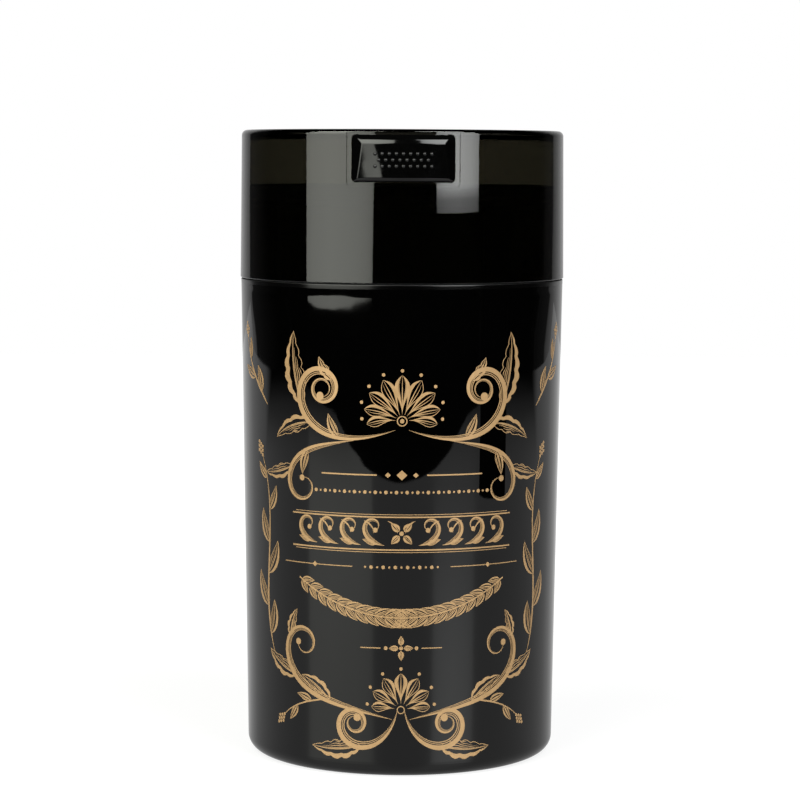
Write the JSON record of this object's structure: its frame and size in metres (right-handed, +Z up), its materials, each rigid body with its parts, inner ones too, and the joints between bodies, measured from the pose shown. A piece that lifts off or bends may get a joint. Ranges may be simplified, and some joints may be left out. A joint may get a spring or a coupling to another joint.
{
  "type": "vacuum canister",
  "caption": "Tall round push-button vacuum canister: gloss opaque jar, smoke-tinted telescoping cap, neck seal and a soft vent button.",
  "frame": {"origin": "centre of the foot, on the surface that the canister stands on", "axes": "+Z up along the canister's axis, -Y towards the push button and the printed front, +X to the right seen from the front"},
  "size_m": [0.1208, 0.1229, 0.2328],
  "materials": {
    "jar_black": "high gloss, with a printed gold ornament on the front",
    "smoke_plastic": "high gloss, deep smoke tint, see-through",
    "button_rubber": "semi-gloss moulded elastomer",
    "seal_rubber": "matt elastomer"
  },
  "bodies": {
    "jar": {"jar": "jar_black", "neck_seal": "seal_rubber"},
    "cap": {"cap": "smoke_plastic"},
    "button": {"button_pad": "button_rubber", "valve_flap": "seal_rubber"}
  },
  "joints": [
    {"name": "cap_lift", "type": "slide", "parent": "jar", "child": "cap", "axis": [0, 0, 1], "range_m": [0, 0.1]},
    {"name": "button_press", "type": "slide", "parent": "cap", "child": "button", "axis": [0, 1, 0], "range_m": [0, 0.0012], "stiffness_N_per_m": 800}
  ]
}
